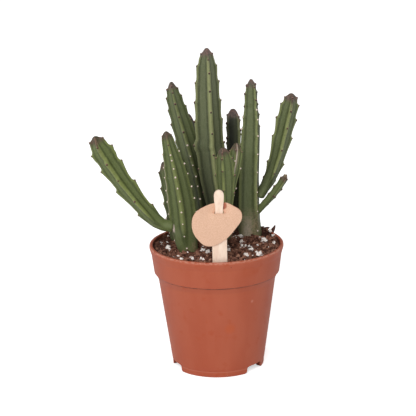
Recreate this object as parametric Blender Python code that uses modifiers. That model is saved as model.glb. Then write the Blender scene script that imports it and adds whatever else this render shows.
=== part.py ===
"""A young stapelia in a 9 cm nursery pot, with a wooden label stick and a card tag.

Twelve four-angled succulent stems stand in a plug of peat and perlite, which fills a
thin-walled plastic pot. A flat stick is pushed into the soil at the front, and its neck
passes through a slit in the card. Sizes are in millimetres, and MM turns them to metres.
The origin is on the pot's axis, on the surface it stands on; the front looks along -Y.
"""

from collections import namedtuple
from math import atan2, cos, hypot, pi, radians, sin, sqrt

import bmesh
import bpy
from mathutils import Matrix, Vector

MM = 0.001
GAP = 0.3  # clearance between pieces that touch, in mm

for leftover in list(bpy.data.objects):
    bpy.data.objects.remove(leftover, do_unlink=True)

plant = bpy.data.collections.new("potted_stapelia")
cutters = bpy.data.collections.new("cutters")
for group in (plant, cutters):
    bpy.context.scene.collection.children.link(group)


def finish(name, colour, roughness):
    """A Principled material of one plain colour."""
    made = bpy.data.materials.new(name)
    made.use_nodes = True
    shader = made.node_tree.nodes["Principled BSDF"]
    shader.inputs["Base Color"].default_value = (*colour, 1.0)
    shader.inputs["Roughness"].default_value = roughness
    return made


def piece(name, mesh, material, group=plant):
    """A smooth-shaded object for a mesh; one in the cutters' collection is left out."""
    made = bpy.data.objects.new(name, mesh)
    group.objects.link(made)
    mesh.materials.append(material)
    mesh.shade_smooth()
    if group is cutters:
        made.hide_render = True
        made.display_type = "WIRE"
    return made


def cut(target, cutter):
    """Takes the cutter's shape out of the target."""
    difference = target.modifiers.new(f"cut_{cutter.name}", "BOOLEAN")
    difference.operation = "DIFFERENCE"
    difference.solver = "EXACT"
    difference.object = cutter


def flattened(obj):
    """The object with its modifiers or its curve made into a plain mesh, doubles welded."""
    graph = bpy.context.evaluated_depsgraph_get()
    graph.update()
    mesh = bpy.data.meshes.new_from_object(obj.evaluated_get(graph))
    mesh.materials.clear()
    bpy.data.objects.remove(obj, do_unlink=True)
    work = bmesh.new()
    work.from_mesh(mesh)
    bmesh.ops.remove_doubles(work, verts=work.verts, dist=0.01 * MM)
    work.to_mesh(mesh)
    work.free()
    return mesh


def turned(name, profile, steps):
    """A solid of revolution from (radius, height) points that run down its outer side."""
    mesh = bpy.data.meshes.new(name)
    points = [(radius * MM, 0.0, height * MM) for radius, height in profile]
    mesh.from_pydata(points, [(i, i + 1) for i in range(len(points) - 1)], [])
    obj = bpy.data.objects.new(name, mesh)
    bpy.context.scene.collection.objects.link(obj)
    screw = obj.modifiers.new("turn", "SCREW")
    screw.steps = screw.render_steps = steps
    screw.use_merge_vertices = True
    screw.merge_threshold = 0.01 * MM
    return flattened(obj)


def ramp(value, low, high):
    """0 below low, 1 above high, and a smooth rise between."""
    share = min(max((value - low) / (high - low), 0.0), 1.0)
    return share * share * (3.0 - 2.0 * share)


# --- Pot -------------------------------------------------------------------------------
# One injection-moulded shell: a rounded bead at the rim, a slightly conical collar, a
# step in to the tapering body, and a foot ring with three drainage mouths through it.

RIM_RADIUS = 45.0
RIM_HEIGHT = 84.9
RIM_MOUTH = 42.6  # inner radius of the bead
COLLAR_TOP = 43.7  # outer radius just under the bead
COLLAR_FOOT = 42.1
COLLAR_FOOT_HEIGHT = 66.4
BODY_TOP = 39.4  # outer radius under the step
BODY_TOP_HEIGHT = 62.0
BODY_FOOT = 31.2
BODY_FOOT_HEIGHT = 3.0
WALL = 1.0
FOOT_RING = (27.6, 30.2)  # inner and outer radius of the ring it stands on
FLOOR_UNDERSIDE = 3.4
FLOOR_TOP = 4.6
CENTRE_PAD = 12.0  # radius of the flat disc in the middle of the underside
CENTRE_PAD_TOP = 1.2
POT_STEPS = 60

DRAIN_ANGLES = (52.0, 172.0, 292.0)  # from the front, turning to the right
DRAIN_WIDTH = 15.0
DRAIN_HEIGHT = 5.0
DRAIN_DEPTH = (23.0, 36.0)  # from and to this radius


def wall_inside(height):
    """Inner radius of the pot's wall at a height."""
    if height > COLLAR_FOOT_HEIGHT:
        share = (height - COLLAR_FOOT_HEIGHT) / (RIM_HEIGHT - 4.4 - COLLAR_FOOT_HEIGHT)
        return COLLAR_FOOT + (COLLAR_TOP - COLLAR_FOOT) * share - WALL
    if height > BODY_TOP_HEIGHT:
        share = (height - BODY_TOP_HEIGHT) / (COLLAR_FOOT_HEIGHT - BODY_TOP_HEIGHT)
        return BODY_TOP + (COLLAR_FOOT - BODY_TOP) * share - WALL
    share = (height - BODY_FOOT_HEIGHT) / (BODY_TOP_HEIGHT - BODY_FOOT_HEIGHT)
    return BODY_FOOT + (BODY_TOP - BODY_FOOT) * share - WALL


def pot_profile():
    """From the middle of the floor up the inside, over the rim and down the outside."""
    inside = [(0.0, CENTRE_PAD_TOP), (CENTRE_PAD - 0.6, CENTRE_PAD_TOP), (CENTRE_PAD + 2.0, FLOOR_TOP)]
    inside += [(wall_inside(FLOOR_TOP) - 0.8, FLOOR_TOP), (wall_inside(FLOOR_TOP + 0.8), FLOOR_TOP + 0.8)]
    heights = (BODY_TOP_HEIGHT - 0.6, COLLAR_FOOT_HEIGHT - 0.4, RIM_HEIGHT - 5.6)
    inside += [(wall_inside(height), height) for height in heights]
    bead = [
        (RIM_MOUTH, RIM_HEIGHT - 4.0),
        (RIM_MOUTH, RIM_HEIGHT - 1.7),
        (RIM_MOUTH + 0.3, RIM_HEIGHT - 0.9),
        (RIM_MOUTH + 0.9, RIM_HEIGHT - 0.2),
        (RIM_RADIUS - 1.0, RIM_HEIGHT),
        (RIM_RADIUS - 0.4, RIM_HEIGHT - 0.3),
        (RIM_RADIUS, RIM_HEIGHT - 1.1),
        (RIM_RADIUS - 0.1, RIM_HEIGHT - 2.1),
        (RIM_RADIUS - 0.7, RIM_HEIGHT - 3.1),
    ]
    outside = [
        (COLLAR_TOP, RIM_HEIGHT - 4.4),
        (COLLAR_FOOT + 0.1, COLLAR_FOOT_HEIGHT + 1.2),
        (COLLAR_FOOT - 0.3, COLLAR_FOOT_HEIGHT),
        (COLLAR_FOOT - 1.6, COLLAR_FOOT_HEIGHT - 1.9),
        (BODY_TOP + 0.1, BODY_TOP_HEIGHT + 1.0),
        (BODY_TOP - 0.1, BODY_TOP_HEIGHT - 1.0),
        (BODY_FOOT, BODY_FOOT_HEIGHT),
        (BODY_FOOT - 0.3, BODY_FOOT_HEIGHT - 1.7),
        (FOOT_RING[1] + 0.2, 0.35),
        (FOOT_RING[1] - 0.4, 0.0),
    ]
    underside = [
        (FOOT_RING[0], 0.0),
        (FOOT_RING[0] - 0.8, FLOOR_UNDERSIDE),
        (CENTRE_PAD + 1.4, FLOOR_UNDERSIDE),
        (CENTRE_PAD, 0.0),
        (0.0, 0.0),
    ]
    return inside + bead + outside + underside


def drain_cutter(angle):
    """An arched block lying across the foot ring at an angle from the front."""
    work = bmesh.new()
    bmesh.ops.create_cube(work, size=1.0)
    depth = DRAIN_DEPTH[1] - DRAIN_DEPTH[0]
    bmesh.ops.scale(work, verts=work.verts, vec=Vector((DRAIN_WIDTH, depth, DRAIN_HEIGHT + 4.0)) * MM)
    top_edges = [
        edge
        for edge in work.edges
        if all(v.co.z > 0 for v in edge.verts) and abs(edge.verts[0].co.x - edge.verts[1].co.x) < MM
    ]
    bmesh.ops.bevel(
        work, geom=top_edges, offset=2.6 * MM, segments=3, profile=0.5, affect="EDGES", material=-1
    )
    middle = Vector((0.0, -sum(DRAIN_DEPTH) / 2.0, (DRAIN_HEIGHT - 4.0) / 2.0)) * MM
    bmesh.ops.translate(work, verts=work.verts, vec=middle)
    mesh = bpy.data.meshes.new("drain_cutter")
    work.to_mesh(mesh)
    work.free()
    cutter = piece(f"drain_cutter_{angle:.0f}", mesh, terracotta, cutters)
    cutter.rotation_euler.z = radians(angle)
    return cutter


terracotta = finish("terracotta_plastic", (0.42, 0.12, 0.07), 0.45)
pot = piece("pot", turned("pot", pot_profile(), POT_STEPS), terracotta)
for drain_angle in DRAIN_ANGLES:
    cut(pot, drain_cutter(drain_angle))


# --- Stems -----------------------------------------------------------------------------
# Every stem is a four-angled column with hollow faces and rounded ribs. Its axis runs
# smoothly through stations (x, y, z, width) from the foot to the tip, where the width is
# the diagonal from rib to rib. `turn` is the way the first rib looks, from the front
# towards the right, and `rounding` the length over which the tip closes.

Stem = namedtuple("Stem", "name turn rounding stations")

TALLEST = ((5.5, 10, 66, 12), (3, 10, 101, 15.5), (-1.2, 9.5, 128, 18.4), (-3.2, 9, 154, 19.2),
           (-4, 8.6, 181, 17.2), (-4.2, 8.2, 204, 13.4), (-4, 8, 216, 9))
LEFT_TALL = ((-8, 19, 66, 11.5), (-8.8, 19, 99, 12.5), (-12.2, 21, 123, 14.4), (-17.4, 22.5, 146, 15.2),
             (-23.2, 24.2, 167, 13), (-26.6, 25.2, 180, 10.2), (-28.2, 26, 190, 7))
FRONT_LEFT = ((-17, -8, 66, 11.5), (-18.7, -9, 82, 13.5), (-21.1, -9.4, 96, 17.6), (-22.7, -9.6, 116, 18),
              (-26.7, -10, 140.5, 14), (-29.7, -10.4, 154.5, 9.4), (-31.8, -10.7, 165, 7))
RIGHT_TALL = ((22.8, 20, 66, 15), (23, 20.5, 86, 18.4), (22.8, 22, 115, 17.6), (23.7, 23.5, 137, 16.6),
              (24.9, 24.4, 163, 14.2), (25, 24.8, 177, 11.2), (25.2, 25, 191, 8.5))
BACK_LEFT_SHORT = ((-24, 15, 66, 10), (-27.4, 16.5, 95, 11.4), (-31.8, 18.8, 122, 10.6),
                   (-34.8, 20, 136.5, 7))
FRONT_SHORT = ((1.6, -16, 66, 7), (2.8, -16, 90, 8), (6.6, -16.5, 114, 9.4), (6.6, -17.5, 133, 12.8),
               (6.2, -18.3, 145, 11.8), (5.5, -19, 155.5, 9))
FRONT_TWIN = ((2, -4.5, 66, 5.5), (7.2, -5.5, 113, 6), (9.4, -6.2, 124, 7.8), (12.1, -7, 138, 8.8),
              (13.7, -7.6, 148, 8.4), (14.4, -8, 155.5, 7))
BACK_RIGHT = ((12.9, 33.4, 66, 8.6), (13.4, 34.8, 120, 13.2), (13.1, 35.2, 160, 12.8), (13, 35.5, 168.5, 10.5))
BACK_MIDDLE = ((-8, 32.5, 66, 8), (-11.5, 34.2, 110, 10), (-15.8, 35.6, 150, 9.4), (-17.4, 36, 165.5, 7))
LEFT_BRANCH = ((-30.8, -9, 98.2, 7.8), (-38.4, -9.2, 102.4, 9.4), (-46.4, -9.6, 111.3, 11.6),
               (-59.3, -10.4, 128.5, 13.8), (-70.9, -11.2, 147.3, 14.8), (-75.3, -11.6, 155.6, 13.4),
               (-78.4, -11.9, 162.8, 8.5))
RIGHT_OUTER = ((30.4, 21, 112.2, 6.4), (35.8, 20.2, 121, 9), (39.8, 19.8, 130.7, 10.6), (43.8, 19.3, 145, 12.6),
               (48.6, 18.6, 166, 13.4), (50.8, 18.2, 175, 11.6), (51.9, 18, 182.4, 8.5))
RIGHT_SMALL = ((29.2, 19.2, 101.6, 4.6), (38, 16.8, 112, 6.2), (44, 15.2, 120.6, 6), (48, 14, 127.6, 4.5))

ROOTED = (
    Stem("stem_tallest", 12, 14, TALLEST),
    Stem("stem_left_tall", 0, 11, LEFT_TALL),
    Stem("stem_front_left", -2, 7, FRONT_LEFT),
    Stem("stem_right_tall", 37, 9, RIGHT_TALL),
    Stem("stem_back_left_short", 20, 8, BACK_LEFT_SHORT),
    Stem("stem_front_short", -16, 9, FRONT_SHORT),
    Stem("stem_front_short_twin", 0, 7, FRONT_TWIN),
    Stem("stem_back_right", 45, 8, BACK_RIGHT),
    Stem("stem_back_middle", 30, 7, BACK_MIDDLE),
)
BRANCHES = (
    Stem("stem_left_branch", -5, 9, LEFT_BRANCH),
    Stem("stem_right_outer", 12, 8, RIGHT_OUTER),
    Stem("stem_right_small", 20, 4, RIGHT_SMALL),
)
SIDES = 16
RINGS = 15
FACE_DEPTH = 0.62  # distance of a face's middle from the axis, as a share of a rib's
RIB_SHARPNESS = 5
FOOT_END = 2.5  # length over which the buried foot closes
RING_SPACING = 1.5  # over 1, the rings crowd towards the tip


def rib_section(angle):
    """Distance from the axis at an angle from a rib, as a share of the rib's."""
    return FACE_DEPTH + (1.0 - FACE_DEPTH) * abs(cos(2.0 * angle)) ** RIB_SHARPNESS


def along(stations, from_tip):
    """Axis point, heading and width of a stem, at a distance back from its tip.

    A cubic runs between each two stations, with the slope at a station taken from its
    neighbours, so that the stem has no kinks.
    """
    rows = [Vector(row) for row in reversed(stations)]
    places = [0.0]
    for here, there in zip(rows, rows[1:]):
        places.append(places[-1] + (there - here).to_3d().length)
    last = len(rows) - 1
    at = min(next((i for i in range(last) if from_tip < places[i + 1]), last - 1), last - 1)

    def slope(i):
        low, high = max(i - 1, 0), min(i + 1, last)
        return (rows[high] - rows[low]) / (places[high] - places[low])

    span = places[at + 1] - places[at]
    t = (from_tip - places[at]) / span
    start, end = rows[at], rows[at + 1]
    first, second = slope(at) * span, slope(at + 1) * span
    row = (
        start * (2 * t**3 - 3 * t**2 + 1)
        + first * (t**3 - 2 * t**2 + t)
        + end * (3 * t**2 - 2 * t**3)
        + second * (t**3 - t**2)
    )
    change = (
        start * (6 * t**2 - 6 * t)
        + first * (3 * t**2 - 4 * t + 1)
        + end * (6 * t - 6 * t**2)
        + second * (3 * t**2 - 2 * t)
    )
    return row.to_3d(), -change.to_3d().normalized(), row.w


def stem_length(stations):
    return sum((Vector(b) - Vector(a)).to_3d().length for a, b in zip(stations, stations[1:]))


def stem_mesh(stem, grow=0.0):
    """A sphere's rings laid along the stem's axis; grow widens it for a cutter."""
    length = stem_length(stem.stations)
    first_rib = Vector((sin(radians(stem.turn)), -cos(radians(stem.turn)), 0.0))
    work = bmesh.new()
    bmesh.ops.create_uvsphere(work, u_segments=SIDES, v_segments=RINGS, radius=1.0)
    for vert in work.verts:
        ring = round(atan2(hypot(vert.co.x, vert.co.y), vert.co.z) / pi * RINGS)
        turn = atan2(vert.co.y, vert.co.x)
        from_tip = (length - FOOT_END) * (ring / (RINGS - 1.0)) ** RING_SPACING
        if ring in (0, RINGS):
            from_tip = -grow if ring == 0 else length + grow
        point, heading, width = along(stem.stations, from_tip)
        forward = (first_rib - heading * first_rib.dot(heading)).normalized()
        sideways = heading.cross(forward)
        closing = max(1.0 - from_tip / stem.rounding, 0.0)
        rib = 0.0 if ring in (0, RINGS) else width / 2.0 * sqrt(1.0 - closing * closing) + grow
        reach = rib * rib_section(turn)
        vert.co = (point + (forward * cos(turn) + sideways * sin(turn)) * reach) * MM
    mesh = bpy.data.meshes.new(stem.name)
    work.to_mesh(mesh)
    work.free()
    return mesh


stem_green = finish("stem_green", (0.10, 0.16, 0.07), 0.55)
for stem in ROOTED + BRANCHES:
    piece(stem.name, stem_mesh(stem), stem_green)


# --- Label: stick and card -------------------------------------------------------------
# Both lie in one plane, whose frame is an empty at soil level on the stick's centre
# line: x to the right, y up along the stick, z out of its front face. The stick leans
# forward a little, so that its buried point clears the pot's taper.

LABEL_FOOT = (1.9, -39.5, 82.6)
LABEL_LEAN = 9.0  # degrees, top to the front
STICK_THICKNESS = 1.8
STICK_WIDTH = 9.6
NECK_WIDTH = 5.0
HEAD_WIDTH = 6.4
STICK_TOP = 52.8
STICK_POINT = -44.0
CARD_THICKNESS = 0.8
SLIT_HEIGHT = 36.9
SLIT_WIDTH = 5.7
CARD_OUTLINE = (
    (-7.1, 13.8),
    (0.8, 16.4),
    (9.6, 25.0),
    (14.6, 36.4),
    (9.8, 41.8),
    (-1.2, 42.9),
    (-13.8, 39.4),
    (-17.7, 29.8),
    (-13.4, 17.9),
)
CARD_CELL = 2.6  # the card's mesh is cut this fine, so that it can bend

label = bpy.data.objects.new("label", None)
plant.objects.link(label)
label.location = Vector(LABEL_FOOT) * MM
label.rotation_euler.x = radians(90.0 + LABEL_LEAN)


def flat_outline(name, points, thickness, closed_smooth):
    """A sheet cut to an outline, made of a flat 2D curve, as a mesh."""
    curve = bpy.data.curves.new(name, "CURVE")
    curve.dimensions = "2D"
    curve.fill_mode = "BOTH"
    curve.extrude = thickness / 2.0 * MM
    curve.resolution_u = 5
    spline = curve.splines.new("BEZIER" if closed_smooth else "POLY")
    spline.use_cyclic_u = True
    if closed_smooth:
        spline.bezier_points.add(len(points) - 1)
        for node, (x, y) in zip(spline.bezier_points, points):
            node.co = (x * MM, y * MM, 0.0)
            node.handle_left_type = node.handle_right_type = "AUTO"
    else:
        spline.points.add(len(points) - 1)
        for node, (x, y) in zip(spline.points, points):
            node.co = (x * MM, y * MM, 0.0, 1.0)
    obj = bpy.data.objects.new(name, curve)
    bpy.context.scene.collection.objects.link(obj)
    return flattened(obj)


def stick_outline():
    """Right side from the point up to the top of the head, then the left side down."""
    half, neck, head = STICK_WIDTH / 2.0, NECK_WIDTH / 2.0, HEAD_WIDTH / 2.0
    right = [(0.8, STICK_POINT), (half, STICK_POINT + 11.0), (half, 31.6), (half - 0.7, 33.4)]
    right += [(neck, 35.4), (neck, 40.4), (neck + 0.25, 43.0), (head - 0.1, 45.4)]
    head_middle = STICK_TOP - head * 1.25
    for angle in range(0, 90, 15):
        right.append((head * cos(radians(angle)), head_middle + head * 1.25 * sin(radians(angle))))
    return right + [(0.0, STICK_TOP)] + [(-x, y) for x, y in reversed(right)]


def card_bend(x, y):
    """How far the card stands in front of the stick's middle plane.

    It lies on the front of the stick, and the strip above the slit arches behind the neck.
    """
    in_front = STICK_THICKNESS / 2.0 + GAP + CARD_THICKNESS / 2.0
    round_slit_end = 0.5 + atan2(y - SLIT_HEIGHT, abs(x) - SLIT_WIDTH / 2.0) / (2.0 * pi)
    above = ramp(round_slit_end, 0.24, 0.76)
    near_neck = 1.0 - ramp(abs(x), NECK_WIDTH / 2.0 + 0.5, 11.5)
    return in_front - 2.0 * in_front * above * near_neck


def card_mesh():
    """The card's outline, slit across, cut into cells and bent round the stick's neck."""
    sheet = piece("card_sheet", flat_outline("card_sheet", CARD_OUTLINE, CARD_THICKNESS, True), kraft)
    work = bmesh.new()
    bmesh.ops.create_cube(work, size=1.0)
    bmesh.ops.scale(work, verts=work.verts, vec=Vector((SLIT_WIDTH, 0.4, 4.0)) * MM)
    bmesh.ops.translate(work, verts=work.verts, vec=Vector((0.0, SLIT_HEIGHT, 0.0)) * MM)
    slit = bpy.data.meshes.new("slit_cutter")
    work.to_mesh(slit)
    work.free()
    cut(sheet, piece("slit_cutter", slit, kraft, cutters))
    mesh = flattened(sheet)
    work = bmesh.new()
    work.from_mesh(mesh)
    places = [cell * CARD_CELL for cell in range(-7, 8)]
    planes = [((x, 0.0), (1.0, 0.0)) for x in places]
    planes += [((0.0, SLIT_HEIGHT + y), (0.0, 1.0)) for y in places + [-18.2 - CARD_CELL] if y]
    for (x, y), (nx, ny) in planes:
        bmesh.ops.bisect_plane(
            work,
            geom=work.verts[:] + work.edges[:] + work.faces[:],
            plane_co=Vector((x, y, 0.0)) * MM,
            plane_no=(nx, ny, 0.0),
            dist=0.001 * MM,
        )
    bmesh.ops.triangulate(work, faces=work.faces)
    for vert in work.verts:
        vert.co.z += card_bend(vert.co.x / MM, vert.co.y / MM) * MM
    work.to_mesh(mesh)
    work.free()
    return mesh


birch = finish("birch_wood", (0.88, 0.69, 0.56), 0.6)
kraft = finish("kraft_card", (0.76, 0.50, 0.34), 0.75)
stick = piece("label_stick", flat_outline("label_stick", stick_outline(), STICK_THICKNESS, False), birch)
card = piece("label_card", card_mesh(), kraft)
for part in (stick, card):
    part.parent = label


# --- Soil ------------------------------------------------------------------------------
# The plug of potting soil fills the pot to a few millimetres below the rim and banks up
# against its back right. It has a socket for each rooted stem and for the stick.

SOIL_STEPS = 36
SOIL_EDGE = 82.0
SOIL_BANK = 2.9  # extra height at the back right
SOIL_CROWN = 0.6  # extra height in the middle


def soil_profile():
    """Down from the middle of the top, over the edge, along the wall and the floor."""
    top = [(radius, SOIL_EDGE) for radius in (0.0, 9.0, 18.0, 27.0, 35.0)]
    edge = RIM_MOUTH - GAP - 0.2
    top += [(edge, SOIL_EDGE), (edge, SOIL_EDGE - 2.0)]
    heights = (COLLAR_FOOT_HEIGHT - 0.4, BODY_TOP_HEIGHT - 0.6, FLOOR_TOP + 1.6)
    side = [(wall_inside(height) - GAP, height) for height in heights]
    bottom = [
        (wall_inside(FLOOR_TOP) - 1.8, FLOOR_TOP + GAP),
        (CENTRE_PAD + 1.8, FLOOR_TOP + GAP),
        (CENTRE_PAD - 0.8, CENTRE_PAD_TOP + GAP),
        (0.0, CENTRE_PAD_TOP + GAP),
    ]
    return top + side + bottom


def soil_rise(x, y):
    """How far the soil's top stands over its edge level at the front left."""
    bank = SOIL_BANK * ramp(x * 0.6 + y * 0.8, 0.0, 34.0)
    return bank + SOIL_CROWN * (1.0 - ramp(hypot(x, y), 0.0, 40.0))


def soil_mesh():
    mesh = turned("potting_soil", soil_profile(), SOIL_STEPS)
    for vert in mesh.vertices:
        if vert.co.z > (SOIL_EDGE - 0.5) * MM:
            vert.co.z += soil_rise(vert.co.x / MM, vert.co.y / MM) * MM
    return mesh


def slot_mesh():
    """A block round the buried part of the stick, open to the pot's wall in front of it."""
    top, foot = 10.0, STICK_POINT - GAP
    back, front = -STICK_THICKNESS / 2.0 - GAP, STICK_THICKNESS / 2.0 + 3.0
    work = bmesh.new()
    bmesh.ops.create_cube(work, size=1.0)
    size = Vector((STICK_WIDTH + 2.0 * GAP, top - foot, front - back))
    bmesh.ops.scale(work, verts=work.verts, vec=size * MM)
    middle = Vector((0.0, (top + foot) / 2.0, (front + back) / 2.0))
    bmesh.ops.translate(work, verts=work.verts, vec=middle * MM)
    mesh = bpy.data.meshes.new("stick_slot")
    work.to_mesh(mesh)
    work.free()
    return mesh


peat = finish("peat", (0.06, 0.03, 0.02), 0.95)
soil = piece("potting_soil", soil_mesh(), peat)
for stem in ROOTED:
    cut(soil, piece(f"socket_{stem.name}", stem_mesh(stem, grow=GAP + 0.1), peat, cutters))

slot = piece("stick_slot", slot_mesh(), peat, cutters)
slot.parent = label
cut(soil, slot)
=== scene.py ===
"""A young stapelia in a 9 cm nursery pot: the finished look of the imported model.

The pot, the soil, the label and each stem are modelled finer than their solids, in the
same places and sizes. Lengths are in millimetres, and MM turns them to metres.
"""

import random
from functools import cache
from math import acos, atan2, cos, degrees, hypot, pi, radians, sin, sqrt, tan

import bmesh
import bpy
from mathutils import Matrix, Vector, noise
from mathutils.bvhtree import BVHTree


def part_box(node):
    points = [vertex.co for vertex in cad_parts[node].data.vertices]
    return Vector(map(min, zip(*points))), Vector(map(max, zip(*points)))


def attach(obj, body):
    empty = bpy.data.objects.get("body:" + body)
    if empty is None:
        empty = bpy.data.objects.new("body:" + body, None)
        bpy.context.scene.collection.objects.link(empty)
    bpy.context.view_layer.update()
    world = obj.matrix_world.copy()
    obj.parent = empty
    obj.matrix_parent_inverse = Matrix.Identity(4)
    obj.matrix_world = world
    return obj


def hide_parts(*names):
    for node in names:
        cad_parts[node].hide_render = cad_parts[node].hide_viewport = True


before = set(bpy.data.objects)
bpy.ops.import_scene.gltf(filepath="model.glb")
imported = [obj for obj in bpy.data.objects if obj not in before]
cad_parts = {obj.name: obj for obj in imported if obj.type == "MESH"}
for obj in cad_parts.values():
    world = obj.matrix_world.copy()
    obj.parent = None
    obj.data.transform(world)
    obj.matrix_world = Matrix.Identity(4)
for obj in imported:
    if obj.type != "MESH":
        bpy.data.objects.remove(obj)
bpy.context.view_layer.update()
MM = 0.001


# --- Pot -------------------------------------------------------------------------------
# One thin shell of terracotta-coloured polypropylene, injection-moulded: a bead at the rim,
# a collar that ends in a crease, a tapering body, and a foot ring with three drainage
# mouths. Soil clings to the bead and the inside; the dark line in the crease is painted
# shade.


def tint(red, green, blue):
    """A shader colour from screen values of 0 to 255."""
    return (*(((v / 255.0 + 0.055) / 1.055) ** 2.4 for v in (red, green, blue)), 1.0)


class Field:
    """A socket in a finish; an expression on it adds the nodes that work it out."""

    def __init__(self, tree, socket=None):
        self.tree = tree
        self.socket = socket

    def node(self, kind, settings=None, sockets=None, out=0):
        """A node's output; settings come first, a ramp's stops among them."""
        made = self.tree.nodes.new("ShaderNode" + kind)
        for name, value in (settings or {}).items():
            if name != "stops":
                setattr(made, name, value)
                continue
            elements = made.color_ramp.elements
            elements.remove(elements[-1])
            elements[0].position, elements[0].color = value[0]
            for position, colour in value[1:]:
                elements.new(position).color = colour
        for name, value in (sockets or {}).items():
            if isinstance(value, Field):
                self.tree.links.new(value.socket, made.inputs[name])
            else:
                made.inputs[name].default_value = value
        return Field(self.tree, made.outputs[out])

    def math(self, operation, first, second):
        return self.node("Math", {"operation": operation}, {0: first, 1: second})

    def __add__(self, other):
        return self.math("ADD", self, other)

    def __sub__(self, other):
        return self.math("SUBTRACT", self, other)

    def __rsub__(self, other):
        return self.math("SUBTRACT", other, self)

    def __mul__(self, other):
        return self.math("MULTIPLY", self, other)

    __radd__ = __add__
    __rmul__ = __mul__

    def rise(self, low, high):
        """0 at low and 1 at high, smooth between; high may be the smaller."""
        ends = {"Value": self, "From Min": low, "From Max": high}
        return self.node("MapRange", {"interpolation_type": "SMOOTHSTEP"}, ends)

    def blend(self, first, second):
        """From the first colour to the second as this goes from 0 to 1."""
        return self.node("Mix", {"data_type": "RGBA"}, {0: self, 6: first, 7: second}, 2)

    def axis(self, letter):
        return self.node("SeparateXYZ", None, {"Vector": self}, letter)

    def reach(self):
        """The distance of this place from the origin."""
        return self.node("VectorMath", {"operation": "LENGTH"}, {0: self}, "Value")

    def distance_to(self, spot):
        return self.node("VectorMath", {"operation": "DISTANCE"}, {0: self, 1: spot}, "Value")

    def stretched(self, x, y, z):
        scale = {0: self, 1: (x, y, z)}
        return self.node("VectorMath", {"operation": "MULTIPLY"}, scale)

    def grain(self, size, detail=3.0, roughness=0.55, warp=0.0):
        """Fractal noise on this place, with features of a size in mm."""
        sockets = {"Vector": self, "Scale": 1.0 / size, "Detail": detail}
        sockets.update({"Roughness": roughness, "Distortion": warp})
        return self.node("TexNoise", None, sockets)

    def cells(self, size):
        """Distance to the nearest of the points scattered about a size apart, in sizes."""
        return self.node("TexVoronoi", None, {"Vector": self, "Scale": 1.0 / size})


def start_finish(name, **fixed):
    """A Principled material with its fixed sockets set, and its place in mm to build on."""
    material = bpy.data.materials.new(name)
    material.use_nodes = True
    shader = material.node_tree.nodes["Principled BSDF"]
    for socket, value in fixed.items():
        shader.inputs[socket.replace("_", " ")].default_value = value
    place = Field(material.node_tree).node("TexCoord", out="Object")
    scaled = place.node("VectorMath", {"operation": "SCALE"}, {0: place, "Scale": 1.0 / MM})
    return material, scaled


def end_finish(material, colour, roughness=None, height=None, relief=0.1):
    """Links what varies: colour, roughness, and a height whose bump is relief mm deep."""
    tree = material.node_tree
    shader = tree.nodes["Principled BSDF"]
    tree.links.new(colour.socket, shader.inputs["Base Color"])
    if roughness:
        tree.links.new(roughness.socket, shader.inputs["Roughness"])
    if height:
        bump = height.node("Bump", None, {"Height": height, "Distance": relief * MM})
        tree.links.new(bump.socket, shader.inputs["Normal"])


def as_mesh(name, work):
    mesh = bpy.data.meshes.new(name)
    work.to_mesh(mesh)
    work.free()
    return mesh


def finished(mesh, materials, node=None):
    """A mesh made a smooth piece of the plant, standing for a node of the model."""
    for material in materials:
        mesh.materials.append(material)
    mesh.shade_smooth()
    piece = bpy.data.objects.new(mesh.name, mesh)
    bpy.context.scene.collection.objects.link(piece)
    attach(piece, "root")
    if node:
        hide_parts(node)
    return piece


RIM_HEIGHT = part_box("pot")[1].z / MM
RIM_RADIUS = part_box("pot")[1].x / MM
RIM_MOUTH = RIM_RADIUS - 2.4
COLLAR_TOP = RIM_RADIUS - 1.3
COLLAR_FOOT = RIM_RADIUS - 2.9
CREASE_HEIGHT = RIM_HEIGHT - 18.7
BODY_TOP = RIM_RADIUS - 5.6
BODY_TOP_HEIGHT = RIM_HEIGHT - 23.2
BODY_FOOT = 31.3
FOOT_LINE = 4.4  # height of the mark that the mould's base plate leaves
WALL = 1.0
FLOOR_TOP = 4.6
POT_STEPS = 180
DRAIN_ANGLES = (52.0, 172.0, 292.0)  # from the front, turning to the right
DRAIN_WIDTH = 15.0
DRAIN_HEIGHT = 5.0
DRAIN_FLARE = 3.0  # how far the feet beside a mouth are rounded away from it

# Corners as radius, height and fillet, from the middle of the floor up the inside, over
# the bead and down the outside.
POT_CORNERS = (
    (0.0, 1.2, 0.0),
    (11.4, 1.2, 0.4),
    (14.0, FLOOR_TOP, 0.8),
    (BODY_FOOT - WALL, FLOOR_TOP, 0.8),
    (BODY_TOP - WALL, BODY_TOP_HEIGHT - 0.5, 1.5),
    (COLLAR_FOOT - WALL, CREASE_HEIGHT, 1.5),
    (COLLAR_TOP - WALL, RIM_HEIGHT - 5.4, 0.6),
    (RIM_MOUTH, RIM_HEIGHT - 4.2, 0.4),
    (RIM_MOUTH, RIM_HEIGHT, 0.9),
    (RIM_RADIUS, RIM_HEIGHT, 1.1),
    (RIM_RADIUS, RIM_HEIGHT - 2.0, 1.2),
    (COLLAR_TOP, RIM_HEIGHT - 6.4, 5.0),
    (COLLAR_FOOT, CREASE_HEIGHT + 0.1, 0.3),
    (COLLAR_FOOT - 0.7, CREASE_HEIGHT - 0.25, 0.15),
    (BODY_TOP, BODY_TOP_HEIGHT, 7.0),
    (BODY_FOOT, FOOT_LINE + 0.25, 0.2),
    (BODY_FOOT - 0.25, FOOT_LINE, 0.2),
    (BODY_FOOT - 0.45, 0.0, 1.0),
    (27.6, 0.0, 0.3),
    (26.8, 3.4, 0.5),
    (13.4, 3.4, 0.5),
    (12.0, 0.0, 0.3),
    (0.0, 0.0, 0.0),
)


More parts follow.
